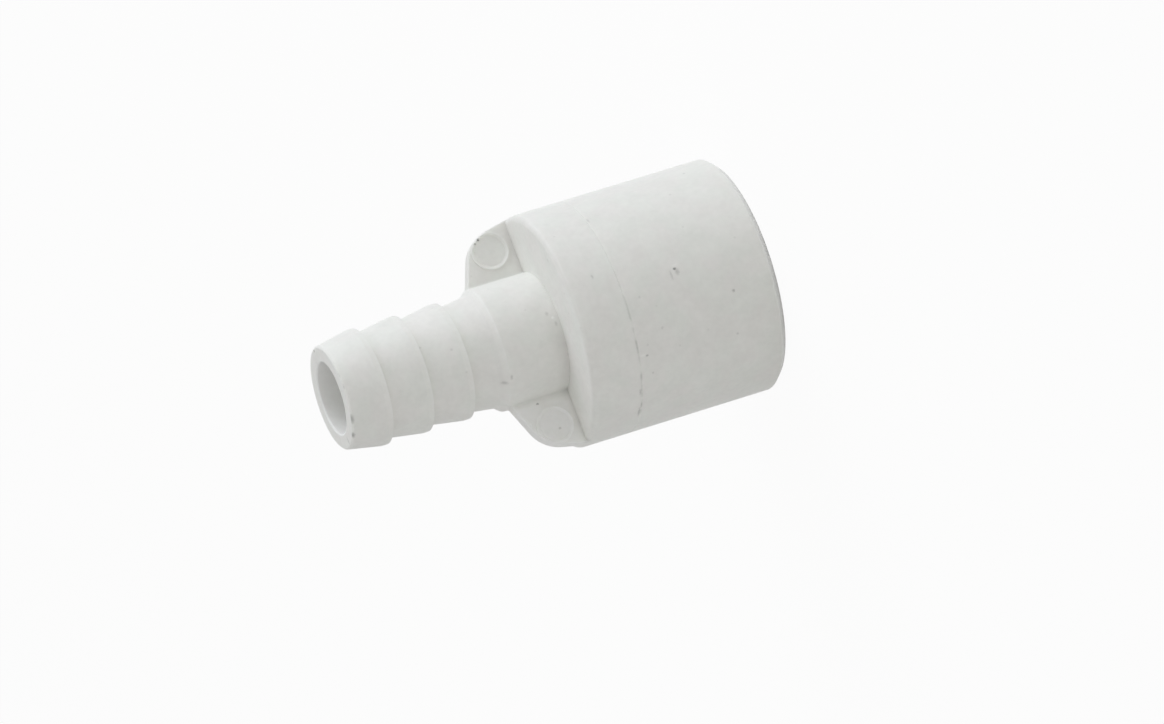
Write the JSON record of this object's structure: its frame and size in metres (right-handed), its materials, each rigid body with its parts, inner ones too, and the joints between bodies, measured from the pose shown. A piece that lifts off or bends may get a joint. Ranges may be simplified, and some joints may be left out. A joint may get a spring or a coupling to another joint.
{
  "type": "spigot barb fitting",
  "caption": "Straight moulded PVC adapter: plain pipe spigot, shoulder and collar braced by flat wings, and a hose barb, with a stepped passage right through.",
  "frame": {"origin": "centre of the open end face of the spigot, which the fitting stands on", "axes": "+Z along the passage towards the barb's tip; the two wings lie along +X and -X; the ejector pin marks face -Y"},
  "size_m": [0.0214, 0.0214, 0.0392],
  "materials": {
    "white_pvc": "white rigid PVC, injection moulded, satin"
  },
  "bodies": {
    "root": {"fitting_body": "white_pvc"}
  },
  "joints": []
}
